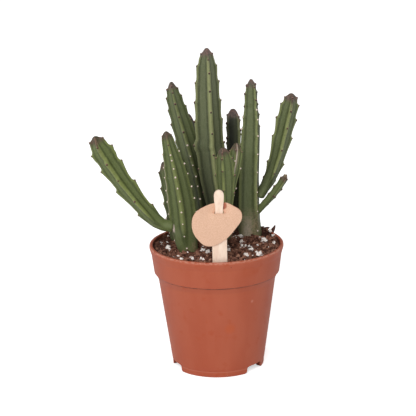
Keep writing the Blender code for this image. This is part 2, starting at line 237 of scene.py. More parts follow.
def filleted(corners, arc_steps=5):
    """The corners' outline with each corner rounded by its fillet."""
    outline = []
    for index, (radius, height, fillet) in enumerate(corners):
        corner = Vector((radius, height))
        if fillet == 0.0:
            outline.append(corner)
            continue
        back = (Vector(corners[index - 1][:2]) - corner).normalized()
        ahead = (Vector(corners[index + 1][:2]) - corner).normalized()
        half_angle = back.angle(ahead) / 2.0
        setback = fillet / tan(half_angle)
        for step in range(arc_steps + 1):
            share = step / arc_steps
            start, end = corner + back * setback, corner + ahead * setback
            outline.append(start.lerp(corner, share).lerp(corner.lerp(end, share), share))
    return outline


def spun(outline, steps):
    """A closed body of revolution from radius and height pairs."""
    work = bmesh.new()
    verts = [work.verts.new((x * MM, 0.0, z * MM)) for x, z in outline]
    edges = [work.edges.new(pair) for pair in zip(verts, verts[1:])]
    turn = {"cent": (0, 0, 0), "axis": (0, 0, 1), "angle": 2.0 * pi, "use_merge": True}
    bmesh.ops.spin(work, geom=verts + edges, steps=steps, **turn)
    bmesh.ops.remove_doubles(work, verts=work.verts, dist=0.002 * MM)
    bmesh.ops.recalc_face_normals(work, faces=work.faces)
    return work


def drain_cutters():
    """Three arched tunnels through the foot ring, with rounded feet beside them."""
    half, below, sole = DRAIN_WIDTH / 2.0, -3.0, -0.02
    right_side = [(half + DRAIN_FLARE, below, 0.0), (half + DRAIN_FLARE, sole, 0.0)]
    right_side += [(half, sole, 2.6), (half, DRAIN_HEIGHT, 2.3)]
    arch = filleted(right_side + [(-x, z, fillet) for x, z, fillet in reversed(right_side)], 6)
    work = bmesh.new()
    for angle in DRAIN_ANGLES:
        verts = [work.verts.new((x * MM, -36.0 * MM, z * MM)) for x, z in arch]
        made = bmesh.ops.extrude_face_region(work, geom=[work.faces.new(verts)])["geom"]
        moved = [item for item in made if isinstance(item, bmesh.types.BMVert)]
        bmesh.ops.translate(work, verts=moved, vec=(0.0, 13.0 * MM, 0.0))
        turn = Matrix.Rotation(radians(angle), 4, "Z")
        bmesh.ops.transform(work, matrix=turn, verts=verts + moved)
    bmesh.ops.recalc_face_normals(work, faces=work.faces)
    return work


def cut(body, cutter):
    """The body's bmesh with the cutter's shape taken out of it."""
    helpers = []
    for content in (body, cutter):
        helpers.append(bpy.data.objects.new("cutting", as_mesh("cutting", content)))
        bpy.context.scene.collection.objects.link(helpers[-1])
    difference = helpers[0].modifiers.new("drains", "BOOLEAN")
    difference.operation = "DIFFERENCE"
    difference.object = helpers[1]
    result = bmesh.new()
    result.from_object(helpers[0], bpy.context.evaluated_depsgraph_get())
    for helper in helpers:
        bpy.data.objects.remove(helper, do_unlink=True)
    return result


# Small marks on the outside: place, reach in mm, screen colour and strength.
POT_MARKS = (
    ((9.1, -43.4, RIM_HEIGHT - 3.6), 0.55, (66, 38, 32), 0.9),
    ((22.8, -30.9, 53.5), 1.5, (208, 152, 132), 0.3),
    ((7.8, -34.6, 36.0), 5.0, (184, 84, 44), 0.55),
    ((20.0, -38.6, RIM_HEIGHT - 8.0), 7.0, (168, 76, 44), 0.4),
    ((27.0, -27.8, 61.0), 0.8, (110, 62, 50), 0.6),
)

plastic, place = start_finish("terracotta_plastic", IOR=1.49, Specular_IOR_Level=0.32)
height = place.axis("Z")
flow = place.stretched(1.0, 1.0, 0.3).grain(16.0, 3.0)
cloud = place.grain(9.0, 4.0)
fleck = place.grain(0.5, 2.0)
clay = flow.rise(0.35, 0.65).blend(tint(171, 83, 56), tint(175, 89, 62))
clay = (cloud.rise(0.58, 0.72) * 0.6).blend(clay, tint(170, 76, 45))
clay = (fleck.rise(0.36, 0.26) * 0.22).blend(clay, tint(140, 70, 52))
speck = place.cells(7.0).rise(0.045, 0.02) * cloud.rise(0.50, 0.56)
clay = (speck * 0.8).blend(clay, tint(92, 50, 40))
rub = place.stretched(0.35, 0.35, 2.2).grain(1.6, 4.0).rise(0.72, 0.80) * cloud.rise(0.42, 0.55)
clay = (rub * 0.35).blend(clay, tint(205, 150, 132))
# Painted shade: a dark, broken line in the crease under the collar, where shade falls.
crease = height.rise(CREASE_HEIGHT - 1.3, CREASE_HEIGHT - 0.3)
crease = crease * height.rise(CREASE_HEIGHT + 0.15, CREASE_HEIGHT - 0.05)
crease = crease * (0.35 + 0.5 * place.grain(4.0).rise(0.4, 0.6))
clay = crease.blend(clay, tint(96, 52, 42))
smear = place.stretched(1.0, 1.0, 3.0).grain(1.9, 5.0, 0.65)
# Painted highlight: a faint pale band just under the mould line at the foot.
sole = height.rise(3.2, 3.6) * height.rise(4.3, 3.8)
clay = (sole * (0.15 + 0.35 * cloud)).blend(clay, tint(196, 130, 108))
on_bead = height.rise(RIM_HEIGHT - 2.0, RIM_HEIGHT - 0.2)
dirt = on_bead * smear.rise(0.56, 0.66) * (0.35 + 0.65 * place.axis("X").rise(-6.0, 22.0))
clay = (dirt * 0.85).blend(clay, tint(78, 50, 40))
off_axis = place.stretched(1.0, 1.0, 0.0).reach()
# Painted highlight: a broken pale line along the outer edge of the bead.
painted_lip_highlight = on_bead * off_axis.rise(RIM_RADIUS - 1.0, RIM_RADIUS - 0.6) * smear.rise(0.42, 0.52)
clay = (painted_lip_highlight * 0.5).blend(clay, tint(212, 156, 134))
inside = off_axis.rise(RIM_MOUTH + 0.5, RIM_MOUTH + 0.1) * smear.rise(0.3, 0.5)
inside = inside * height.rise(RIM_HEIGHT - 8.0, RIM_HEIGHT - 7.0)
clay = (inside * 0.85).blend(clay, tint(88, 50, 38))
# Painted shade: darkening on the inside of the foot ring by the drainage mouths, where shade falls.
mouths = off_axis.rise(BODY_FOOT - 0.7, BODY_FOOT - 1.7)
mouths = mouths * height.rise(DRAIN_HEIGHT + 0.3, DRAIN_HEIGHT - 0.2)
clay = (mouths * 0.5).blend(clay, tint(70, 38, 30))
for spot, reach, colour, strength in POT_MARKS:
    mark = place.distance_to(spot).rise(reach, reach * 0.3)
    clay = (mark * strength).blend(clay, tint(*colour))
shine = 0.44 + cloud * 0.12 + dirt * 0.35
end_finish(plastic, clay, shine, cloud * 0.6 + fleck * 0.12 + smear * on_bead * 0.4, 0.12)

pot_body = cut(spun(filleted(POT_CORNERS), POT_STEPS), drain_cutters())
pot = finished(as_mesh("pot_shell", pot_body), [plastic], "pot")
pot.data.set_sharp_from_angle(angle=radians(40.0))


# --- Stems -----------------------------------------------------------------------------
# Twelve fleshy four-angled stems of waxy green skin, grown up from the soil. Opposite ribs
# carry their teeth at the same level, and the two pairs alternate. A tooth is a swelling,
# steep above and dying away below, tipped by the dry point of a leaf that never grew.

SECTION_STEP = 2.0
TIP_ROUNDING = 11.0  # mm over which a stem closes to its tip
POINTED = 3.0  # above this distance from the tip, the solid is a plain pyramid
ROOTED = 4.5  # how far a stem goes on past its last section, into the soil or its bearer
SKIN_SIDES = 64
SKIN_STEP = 0.6
RIB_CROWDING = 0.13  # how much closer the skin's points stand at the ribs
TIP_CROWDING = 1.3  # and towards the tip
FACE = 0.63  # distance of a face from the middle, over that of a rib's crest
WORN_SECTION = 0.93  # the same for the round foot, where ribs and faces die out
WORN_REACH = 24.0  # mm over which they die out
MOST_WORN = 0.85  # how far they die out at the soil
TEETH_WEAR = 48.0  # mm from the tip below which the teeth are worn down
WORN_TOOTH = 0.35  # the share of its swelling that a worn tooth keeps
# The dry point on a tooth: half its length and width in mm, how much more it points up
# than out, and how deep it sits.
WHITE_POINT = (0.55, 0.55, 0.2, 0.22)
BROWN_POINT = (0.85, 0.62, 2.0, 0.42)
SOIL_LINE = 84.0
BEARER_FOOT = 92.0  # height above which the foot of a branch enters its bearer
FRONT = Vector((0.0, -1.0, 0.0))


def frame_axes(up):
    """The directions in a section across a stem that look to the front and to the right."""
    front = (FRONT - up * FRONT.dot(up)).normalized()
    return front, up.cross(front)


def outline_at(solid, point, across):
    """Where the edges of a solid pass through a plane."""
    crossings = []
    for edge in solid.edges:
        near, far = ((vert.co - point).dot(across) for vert in edge.verts)
        if near * far < 0.0:
            crossings.append(edge.verts[0].co.lerp(edge.verts[1].co, near / (near - far)))
    return crossings


def closing(gone):
    """The share of its radius that a stem has at a distance from its tip."""
    return sqrt(1.0 - (1.0 - min(gone / TIP_ROUNDING, 1.0)) ** 2)


class Run:
    """A stem's run from its tip to its foot, read from sections across its solid."""

    def __init__(self, node):
        solid = bmesh.new()
        solid.from_mesh(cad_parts[node].data)
        bmesh.ops.remove_doubles(solid, verts=solid.verts, dist=0.01 * MM)
        bmesh.ops.scale(solid, verts=solid.verts, vec=(1.0 / MM,) * 3)
        poles = sorted(solid.verts, key=lambda vert: -len(vert.link_edges))[:2]
        tip = max(poles, key=lambda vert: vert.co.z)
        ring = [edge.other_vert(tip).co for edge in tip.link_edges]
        centre = tip.co.copy()
        down = (sum(ring, Vector()) / len(ring) - centre).normalized()
        sections = [(centre, 0.0, 0.0)]
        while True:
            outline = outline_at(solid, centre + down * SECTION_STEP, down)
            if len(outline) < 12:
                break
            middle = sum(outline, Vector()) / len(outline)
            front, right = frame_axes(-down)
            arms = [point - middle for point in outline]
            mean = sum(arm.length for arm in arms) / len(arms)
            around = [(atan2(arm.dot(right), arm.dot(front)), arm.length - mean) for arm in arms]
            # The fourfold wave in the section's outline tells how far its ribs are turned.
            lean = (sum(more * wave(4 * angle) for angle, more in around) for wave in (sin, cos))
            gone = len(sections) * SECTION_STEP
            width = max(arm.length for arm in arms) / closing(gone)
            sections.append((middle, width, atan2(*lean) / 4.0))
            down = (middle - centre).normalized()
            centre = middle
        solid.free()
        # The last two sections may cut the closing cone of the foot.
        del sections[-2:]
        whole = int(POINTED / SECTION_STEP) + 1
        centres, widths, turns = (list(column) for column in zip(*sections))
        widths[:whole] = [widths[whole]] * whole
        turns[:whole] = [turns[whole]] * whole
        for i in range(1, len(turns)):
            turns[i] += round((turns[i - 1] - turns[i]) / (pi / 2.0)) * pi / 2.0
        self.length = (len(centres) - 1) * SECTION_STEP + 2.0 * SECTION_STEP + ROOTED
        onward = centres[-1] - centres[-2]
        if centres[-1].z > BEARER_FOOT and abs(onward.z) < abs(onward.x):
            onward.z *= 0.3
        while (len(centres) - 1) * SECTION_STEP < self.length + 2.0 * SECTION_STEP:
            centres.append(centres[-1] + onward)
            widths.append(widths[-1])
            turns.append(turns[-1])
        self.centres, self.widths, self.turns = centres, widths, turns

    def smooth(self, values, gone):
        """A list's smooth value at a distance from the tip."""
        first = int(gone / SECTION_STEP)
        share = gone / SECTION_STEP - first
        weights = (
            (1.0 - share) ** 3,
            3.0 * share**3 - 6.0 * share**2 + 4.0,
            -3.0 * share**3 + 3.0 * share**2 + 3.0 * share + 1.0,
            share**3,
        )
        before = values[first - 1] if first else 2.0 * values[0] - values[1]
        near = (before, values[first], values[first + 1], values[first + 2])
        return sum((value * weight / 6.0 for value, weight in zip(near, weights)), values[0] * 0.0)

    @cache
    def at(self, gone):
        """Centre, front, right and up directions, and radius at a distance from the tip."""
        below = self.smooth(self.centres, gone + 1.0)
        above = self.smooth(self.centres, max(gone - 1.0, 0.0))
        up = (above - below).normalized()
        turn = Matrix.Rotation(self.smooth(self.turns, gone), 3, up)
        front, right = (turn @ axis for axis in frame_axes(up))
        radius = self.smooth(self.widths, gone) * closing(gone)
        return self.smooth(self.centres, gone), front, right, up, radius


@cache
def swelling(gone, levels):
    """How far the teeth at these levels swell a rib at a distance from the tip, and how far
    it is along from one tooth to the next; both 0 to 1."""
    below = min((level for level in levels if level > gone), default=levels[-1] + 20.0)
    above = max((level for level in levels if level <= gone), default=-4.0)
    along = min(1.0, (gone - above) / (below - above))
    shoulder = max(0.0, 1.0 - (below - gone) / 2.0) ** 1.3
    tail = max(0.0, 1.0 - along / 0.65) ** 1.4 if above > 0.0 else 0.0
    return max(shoulder, tail), along


def all_levels(levels, length):
    """The levels given, and more at the last spacing down to the soil."""
    levels = list(levels)
    spacing = max(levels[-1] - levels[-2], 6.0)
    while levels[-1] + spacing < length - 6.0:
        levels.append(levels[-1] + spacing)
    return tuple(levels)


# Each stem: the levels of its teeth in mm from the tip, on the ribs towards the front and
# on those towards the sides, the teeth's swelling in mm, half the width of a rib in
# degrees, the distance from the tip from which the points are dry and white, how
# yellow-green the skin is (below 0: how much painted shade darkens it), and how pale its
# ribs are, which also sets their painted highlight.
NEVER = 999.0
STEMS = {
    "stem_tallest": (
        (6.8, 15.5, 27.3, 41.4, 55.8, 70.2), (4, 12, 23, 36, 49, 65), 0.9, 16, NEVER, 0.1, 0.95,
    ),
    "stem_left_tall": (
        (3, 7, 14.5, 23.5, 34, 43.2, 50.8, 57.2, 65.2, 72, 81), (5, 10.5, 18.5, 28, 40),
        0.8, 18, 36, 0.5, 0.76,
    ),
    "stem_front_left": (
        (8.4, 15, 18.7, 24.2, 30, 37.5, 46.3, 53.8, 62, 70.7), (3, 15, 24, 31, 40, 48, 57),
        0.5, 20, 14, 0.75, 0.82,
    ),
    "stem_right_tall": (
        (5, 13.5, 20, 26.5, 37.5, 50, 62.5, 76), (4, 9.5, 18, 25, 33, 120), 0.8, 16, 18, 0.5, 0.85,
    ),
    "stem_back_left_short": ((4, 12, 22), (6.5, 17.5, 28), 1.1, 13, 20, 0.45, 0.8),
    "stem_front_short": ((3, 6.5, 14.5, 28), (7.5, 19, 31), 0.6, 16, NEVER, 0.8, 0.9),
    "stem_front_short_twin": ((4, 11, 22), (6, 17, 31, 36), 0.6, 18, 8, 1.0, 1.0),
    "stem_back_right": ((5, 14, 25, 38), (9, 19, 31), 0.8, 17, NEVER, -0.12, 1.0),
    "stem_back_middle": ((5, 14, 25, 38), (9, 19, 31), 0.8, 12, NEVER, -0.4, 0.8),
    "stem_left_branch": (
        (6.3, 18.3, 31.8, 49.8, 120), (3, 11, 23, 39.5, 60.5, 120), 1.6, 18, NEVER, 1.0, 1.0,
    ),
    "stem_right_outer": (
        (2.5, 10.7, 22.6, 38.3, 55.5), (3, 8, 18, 31, 49.5, 61.5), 1.2, 18, NEVER, 0.5, 1.0,
    ),
    "stem_right_small": ((2, 17), (3.5, 11.5, 18.5), 0.7, 15, NEVER, 0.8, 0.9),
}

# Marks on a stem: a pale scar, brown cork, painted shade (a darkening that stands in for
# the shade of its neighbours) or a waist, its distance from the tip and its angle from the
# front rib to the right, how far it reaches along in mm and around in degrees, and its
# strength.
MARKS = {
    "stem_tallest": (("dusk", 128, -85, 76, 85, 0.85),),
    "stem_left_tall": (("dusk", 92, 75, 56, 130, 1.0),),
    "stem_front_left": (
        ("scar", 66.5, -72, 3.2, 9, 1.0),
        ("scar", 36, -88, 26, 4, 0.45),
        ("cork", 73, -88, 12, 5, 0.8),
        ("cork", 80, 52, 5, 22, 0.9),
        ("cork", 82, 20, 4, 60, 0.35),
    ),
    "stem_back_left_short": (("dusk", 40, 90, 60, 120, 0.4),),
    "stem_left_branch": (("scar", 40, -17, 34, 1.8, 0.16), ("waist", 94, 0, 14, 999, 0.12)),
    "stem_right_tall": (
        ("waist", 19, 0, 3.2, 999, 0.09),
        ("cork", 106, -30, 20, 80, 0.85),
        ("scar", 106, -52, 14, 30, 0.35),
        ("cork", 86, 4, 28, 8, 0.8),
        ("cork", 38, 6, 12, 6, 0.5),
    ),
    "stem_right_outer": (("dusk", 76, -80, 44, 65, 0.5),),
    "stem_back_right": (("dusk", 32, -62, 60, 60, 1.0),),
    "stem_front_short_twin": (("scar", 10, 16, 17, 13, 0.75), ("cork", 9, 34, 12, 34, 0.6)),
    "stem_right_small": (("cork", 0, 0, 3, 180, 0.9),),
}
LAYERS = ("crest", "along", "point", "wax", "lush", "scar", "cork", "dusk")
LAYERS += ("side_x", "side_y", "from_tip")


def template(create, **settings):
    """The vertices and faces of a shape that a bmesh operator makes."""
    work = bmesh.new()
    create(work, **settings)
    verts = [vert.co.copy() for vert in work.verts]
    faces = [[vert.index for vert in face.verts] for face in work.faces]
    work.free()
    return verts, faces


def put_together(name, parts, layers):
    """A mesh of shapes, each with a function from its vertex to a place in mm and to the
    values that the layers hold there."""
    points, corners, values = [], [], []
    for (verts, faces), placed in parts:
        corners += [[index + len(points) for index in face] for face in faces]
        for vert in verts:
            place, *held = placed(vert)
            points.append(place * MM)
            values.append(held)
    mesh = bpy.data.meshes.new(name)
    mesh.from_pydata(points, [], corners)
    for layer, column in zip(layers, zip(*values)):
        mesh.attributes.new(layer, "FLOAT", "POINT").data.foreach_set("value", column)
    return mesh


def fall(distance, reach):
    """1 at no distance, falling to 0 at the reach."""
    share = max(0.0, 1.0 - abs(distance) / reach)
    return share * share * (3.0 - 2.0 * share)


class Skin:
    """The surface of one stem, round its run."""

    def __init__(self, run, front_levels, side_levels, swell, reach, dry, lush, pale, marks):
        self.run, self.swell, self.reach, self.dry = run, swell, radians(reach), dry
        self.lush, self.pale = lush, pale
        self.levels = (all_levels(front_levels, run.length), all_levels(side_levels, run.length))
        self.waists = [mark for mark in marks if mark[0] == "waist"]
        self.marks = [mark for mark in marks if mark[0] != "waist"]
        self.rings = int(run.length / SKIN_STEP) + 16
        buried = (i * SECTION_STEP for i, centre in enumerate(run.centres) if centre.z < SOIL_LINE)
        self.foot = min(next(buried, run.length), run.length - ROOTED)

    def surface(self, gone, angle):
        """Place, outward and upward directions, nearness to a rib's crest and distance
        along it from one tooth to the next."""
        centre, front, right, up, radius = self.run.at(gone)
        quarters = round(angle / (pi / 2.0))
        off_crest = abs(angle - quarters * pi / 2.0)
        rib = 1.0 / (1.0 + (off_crest / self.reach) ** 3)
        section = FACE / cos(pi / 4.0 - off_crest) + (1.0 - FACE * sqrt(2.0)) * rib
        worn = MOST_WORN * fall(max(self.foot - gone, 0.0), WORN_REACH)
        radius *= section + (WORN_SECTION - section) * worn
        swollen, along = swelling(gone, self.levels[quarters % 2])
        young = WORN_TOOTH + (1.0 - WORN_TOOTH) * fall(max(gone - TEETH_WEAR, 0.0), 30.0)
        swell = self.swell * young * min(1.0, gone / 1.5)
        radius += swell * (swollen - 0.35) * rib**2 * (1.0 - worn)
        for _, level, _, along, _, strength in self.waists:
            radius *= 1.0 - strength * fall(gone - level, along)
        radius *= sqrt(min(1.0, max(self.run.length - gone, 0.0) / 1.5))
        outward = front * cos(angle) + right * sin(angle)
        # Side ribs carry less of the rib colour with its painted highlight.
        rib *= (1.0 - worn) * self.pale * (0.86 if quarters % 2 else 1.0)
        return centre + outward * radius, outward, up, rib, along

    def skin_at(self, vert):
        share = acos(max(-1.0, min(1.0, vert.z))) / pi
        ring = round(share * self.rings)
        gone = self.run.length * ring**TIP_CROWDING / self.rings**TIP_CROWDING
        even = atan2(vert.y, vert.x)
        angle = even - RIB_CROWDING * sin(4.0 * even)
        place, _, _, rib, along = self.surface(gone, angle)
        held = {"scar": 0.0, "cork": 0.0, "dusk": 0.0}
        for kind, level, degrees, along, around, strength in self.marks:
            off = (angle - radians(degrees) + pi) % (2.0 * pi) - pi
            mark = strength * fall(gone - level, along) ** 0.5 * fall(off, radians(around)) ** 0.5
            held[kind] = max(held[kind], mark)
        side = (cos(angle) * 8.0, sin(angle) * 8.0)
        return place, rib, along, 0.0, 0.0, self.lush, *held.values(), *side, gone

    def tooth(self, level, angle, size):
        """The point on a tooth: a map from a ball's vertices."""
        place, outward, up, _, _ = self.surface(level, angle)
        pale = float(level > self.dry)
        length, width, rise, sunk = WHITE_POINT if pale else BROWN_POINT
        lean = (outward + up * rise).normalized()
        spin = lean.to_track_quat("Z", "Y").to_matrix()
        place -= outward * sunk

        def placed(vert):
            taper = width if pale else width * (1.0 - 0.3 * vert.z)
            offset = spin @ Vector((vert.x * taper, vert.y * taper, vert.z * length)) * size
            # Painted light and shade on the point: the more a part faces down, the darker it is.
            underside_shade = 0.5 - 0.5 * (spin @ vert).dot(up)
            held = (1.0, 0.0, 0.3 + 0.7 * underside_shade, pale, self.lush)
            marks_and_side = (0.0,) * 5
            return place + offset, *held, *marks_and_side, level

        return placed

    def mesh(self, name):
        grid = {"u_segments": SKIN_SIDES, "v_segments": self.rings}
        sphere = template(bmesh.ops.create_uvsphere, radius=1.0, **grid)
        parts = [(sphere, self.skin_at)]
        for number in range(4):
            for level in self.levels[number % 2]:
                size = random.uniform(0.85, 1.2)
                if level < self.run.length - 6.0:
                    parts.append((BEAD, self.tooth(level, number * pi / 2.0, size)))
        return put_together(name, parts, LAYERS)


BEAD = template(bmesh.ops.create_uvsphere, u_segments=8, v_segments=6, radius=1.0)

skin, place = start_finish("stem_skin", Specular_IOR_Level=0.3)
crest, along, point, wax, lush, scar, cork, dusk, side_x, side_y, from_tip = (
    place.node("Attribute", {"attribute_name": layer}, None, "Fac") for layer in LAYERS
)
grown = place.node("CombineXYZ", None, {0: side_x, 1: side_y, 2: from_tip})
streak = grown.stretched(1.0, 1.0, 0.12).grain(1.1, 4.0)
mottle = place.grain(2.6, 4.0, 0.6)
stipple = place.grain(0.45, 3.0)
face = lush.blend(tint(92, 97, 70), tint(97, 108, 62))
# The ribs' paler skin with a painted highlight on their crests; the darker flanks beside them are
# painted shade in the grooves.
rib_colour_and_highlight = lush.blend(tint(138, 142, 98), tint(126, 136, 76))
flank_colour_and_shade = lush.blend(tint(60, 65, 40), tint(72, 82, 41))
green = crest.rise(0.10, 0.36).blend(face, flank_colour_and_shade)
# Painted shade along each rib, darkest just below a tooth and lightening towards the next, over the
# rib's own lighter skin above a tooth.
rib_colour_and_highlight = (along.rise(0.0, 0.7) * 0.55 + 0.45).blend(flank_colour_and_shade, rib_colour_and_highlight)
green = crest.rise(0.44, 0.98).blend(green, rib_colour_and_highlight)
green = (mottle.rise(0.5, 0.75) * 0.35).blend(green, tint(68, 80, 44))
green = (streak.rise(0.5, 0.8) * 0.3).blend(green, tint(124, 130, 100))
green = (stipple.rise(0.52, 0.7) * 0.3).blend(green, tint(138, 142, 110))
green = (stipple.rise(0.46, 0.34) * 0.25).blend(green, tint(62, 72, 44))
# Painted shade: a stem given a value below 0 is darkened towards near-black green, as in the shade
# behind the other stems.
green = (lush * -1.25).blend(green, tint(32, 32, 20))
# Painted shade: where those marks lie, the skin darkens to near-black green, as in the shade of
# neighbouring stems.
green = dusk.blend(green, tint(20, 22, 13))
ruddy = place.grain(1.8, 3.0)
blush = from_tip.rise(8.0, 2.0) * (0.35 + ruddy)
blush = blush + from_tip.rise(20.0, 4.0) * crest.rise(0.8, 1.0) * 0.5
umber = lush.blend(tint(84, 68, 66), tint(58, 43, 40))
russet = lush.blend(tint(120, 96, 89), tint(92, 68, 60))
tip_colour = ruddy.rise(0.35, 0.65).blend(umber, russet)
green = (blush.rise(0.0, 1.0) * (1.0 - lush * 0.15)).blend(green, tip_colour)
# More of the same painted shade on those stems, over their tips too.
green = (lush * -0.9).blend(green, tint(32, 32, 20))
# Painted highlight: pinkish-tan light along the rib crests near the tip.
painted_rib_highlight = from_tip.rise(7.0, 3.0) * crest.rise(0.75, 0.95) * ruddy.rise(0.4, 0.6)
green = (painted_rib_highlight * 0.6).blend(green, tint(146, 108, 92))
rough = place.grain(1.3, 5.0, 0.7)
green = (cork * rough.rise(0.35, 0.6)).blend(green, tint(150, 130, 102))
green = (scar * rough.rise(0.25, 0.5)).blend(green, tint(226, 206, 194))
dry_leaf = lush.blend(tint(52, 39, 38), tint(88, 66, 56))
# A point is pinkish tan where it faces up and dark where it faces down: the dry leaf's own colours
# laid out as painted light on top and painted shade beneath.
tipped = point.rise(0.38, 0.62).blend(tint(150, 112, 98), dry_leaf)
tipped = wax.blend(tipped, tint(232, 212, 200))
green = point.rise(0.1, 0.25).blend(green, tipped)
texture = mottle * 0.7 + stipple * 0.3 + streak * 0.3 + cork * rough
end_finish(skin, green, 0.48 + mottle * 0.14, texture, 0.12)

random.seed(11)
stem_runs = {}
for node, habit in STEMS.items():
    run = stem_runs[node] = Run(node)
    stem = Skin(run, *habit, MARKS.get(node, ()))
    finished(stem.mesh(node + "_skin"), [skin], node)


# --- Soil ------------------------------------------------------------------------------
# Loose dark peat with coir fibres, bark chips and white perlite grains, filled into the pot
# to just under the rim and banked up at the back right.

SOIL_CELLS = 170
BANK = ((29.0, 9.0, 2.6), (22.5, 4.0, 3.0))  # degrees round the pot, reach, rise
BANK_EDGE = 41.2  # the bank is highest from this radius outwards
HOLLOW = (34.0, 16.0, 9.0, 5.5)  # middle, reach and depth of the hollow before the bank
# Painted shade on the soil, under the stems and in the hollow: place, reach and how dark.
PAINTED_SOIL_SHADE = (((-34.0, 6.0, 82.0), 26.0, 0.45), ((34.0, 18.0, 81.5), 9.5, 0.9))
SOIL_RADIUS = RIM_MOUTH - 0.35
SOIL_EDGE = 82.0
work = bmesh.new()
work.from_mesh(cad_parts["potting_soil"].data)
soil_solid = BVHTree.FromBMesh(work)
work.free()


def soil_height(x, y):
    """Height of the loose surface, in mm."""
    sky = Vector((x, y, 200.0)) * MM
    spot = soil_solid.ray_cast(sky, Vector((0.0, 0.0, -1.0)))[0]
    level = max(spot.z / MM, SOIL_EDGE) if spot else SOIL_EDGE
    lumps = noise.fractal(Vector((x, y, 3.0)) / 6.0, 0.8, 2.1, 2) * 1.4
    crumbs = noise.fractal(Vector((x, y, 9.0)) / 2.1, 0.6, 2.2, 3) * 1.2
    hollow_x, hollow_y, hollow_reach, depth = HOLLOW
    hollow = depth * fall(hypot(x - hollow_x, y - hollow_y), hollow_reach)
    around = degrees(atan2(y, x))
    bank = max(rise * fall(around - middle, reach) for middle, reach, rise in BANK)
    bank *= fall(max(BANK_EDGE - hypot(x, y), 0.0), 4.0)
    return level + lumps + crumbs - hollow + bank


def disc_from_square(x, y):
    """Moves a point of a square to the like place on a disc."""
    return x * sqrt(1.0 - y * y / 2.0), y * sqrt(1.0 - x * x / 2.0)


work = bmesh.new()
bmesh.ops.create_grid(work, x_segments=SOIL_CELLS, y_segments=SOIL_CELLS, size=1.0)
for vert in work.verts:
    x, y = (share * SOIL_RADIUS for share in disc_from_square(vert.co.x, vert.co.y))
    vert.co = Vector((x, y, soil_height(x, y))) * MM
edge_loop = [edge for edge in work.edges if edge.is_boundary]
plug_sides = (
    (41.2, 78.0),
    (COLLAR_FOOT - WALL - 0.2, 66.0),
    (BODY_TOP - WALL - 0.2, 61.0),
    (BODY_FOOT - WALL - 0.2, FLOOR_TOP + 1.6),
)
for radius, level in plug_sides:
    made = bmesh.ops.extrude_edge_only(work, edges=edge_loop)["geom"]
    for vert in (item for item in made if isinstance(item, bmesh.types.BMVert)):
        shrink = radius / hypot(vert.co.x / MM, vert.co.y / MM)
        vert.co = Vector((vert.co.x * shrink, vert.co.y * shrink, level * MM))
    edges = (item for item in made if isinstance(item, bmesh.types.BMEdge))
    edge_loop = [edge for edge in edges if edge.is_boundary]
bmesh.ops.contextual_create(work, geom=edge_loop)
bmesh.ops.recalc_face_normals(work, faces=work.faces)

peat, place = start_finish("peat", Specular_IOR_Level=0.25)
tone = place.node("Attribute", {"attribute_name": "tone"}, None, "Fac")
clump = place.grain(3.2, 4.0, 0.6)
fibre = place.stretched(1.0, 2.6, 1.0).grain(0.7, 4.0, 0.7, 0.8)
earth = clump.rise(0.35, 0.65).blend(tint(106, 65, 51), tint(152, 106, 87))
earth = (fibre.rise(0.5, 0.72) * 0.7).blend(earth, tint(200, 156, 132))
earth = (fibre.rise(0.45, 0.28) * 0.8).blend(earth, tint(52, 28, 21))
# Painted shade: the soil darkens in these patches.
for spot, around, shade_strength in PAINTED_SOIL_SHADE:
    near = place.distance_to(spot).rise(around, around * 0.4)
    earth = (near * shade_strength).blend(earth, tint(44, 25, 19))
earth = (tone.rise(0.45, 0.1) * 0.8).blend(earth, tint(62, 34, 26))
earth = (tone.rise(0.84, 0.98) * 0.75).blend(earth, tint(190, 142, 118))
end_finish(peat, earth, 0.86 + clump * 0.1, fibre + clump, 0.35)
finished(as_mesh("soil_bed", work), [peat], "potting_soil")

stem_feet = []
for run in stem_runs.values():
    for i, centre in enumerate(run.centres):
        if 80.0 < centre.z < 90.0:
            stem_feet.append((centre.x, centre.y, run.widths[i]))


def soil_spot(reach, clear=0.8):
    """A random place on the soil that no stem stands on."""
    while True:
        angle, radius = random.uniform(0.0, 2.0 * pi), reach * sqrt(random.random())
        x, y = radius * cos(angle), radius * sin(angle)
        if all(hypot(x - fx, y - fy) > foot * clear for fx, fy, foot in stem_feet):
            return x, y


def lump_at(x, y, size, squash, sink, seed, tone=0.0):
    """A rough lump lying in the soil, as a map from a ball's vertices."""
    spin = Matrix.Rotation(seed * 2.4, 3, (sin(seed), cos(seed), 0.5))
    middle = Vector((x, y, soil_height(x, y) + size * (0.5 - sink)))
    drift = Vector((seed * 7.3, 0.0, 0.0))

    def placed(vert):
        rough = 1.0 + 1.0 * noise.noise(vert * 1.1 + drift) + 0.6 * noise.noise(vert * 3.0 + drift)
        shape = spin @ Vector((vert.x, vert.y * squash, vert.z * squash))
        return middle + shape * (rough * size / 2.0), tone

    return placed


def crumb(number):
    size, squash = random.triangular(0.7, 3.6, 1.0), random.uniform(0.3, 0.85)
    return lump_at(*soil_spot(SOIL_RADIUS - 1.0), size, squash, 0.25, number, random.random())


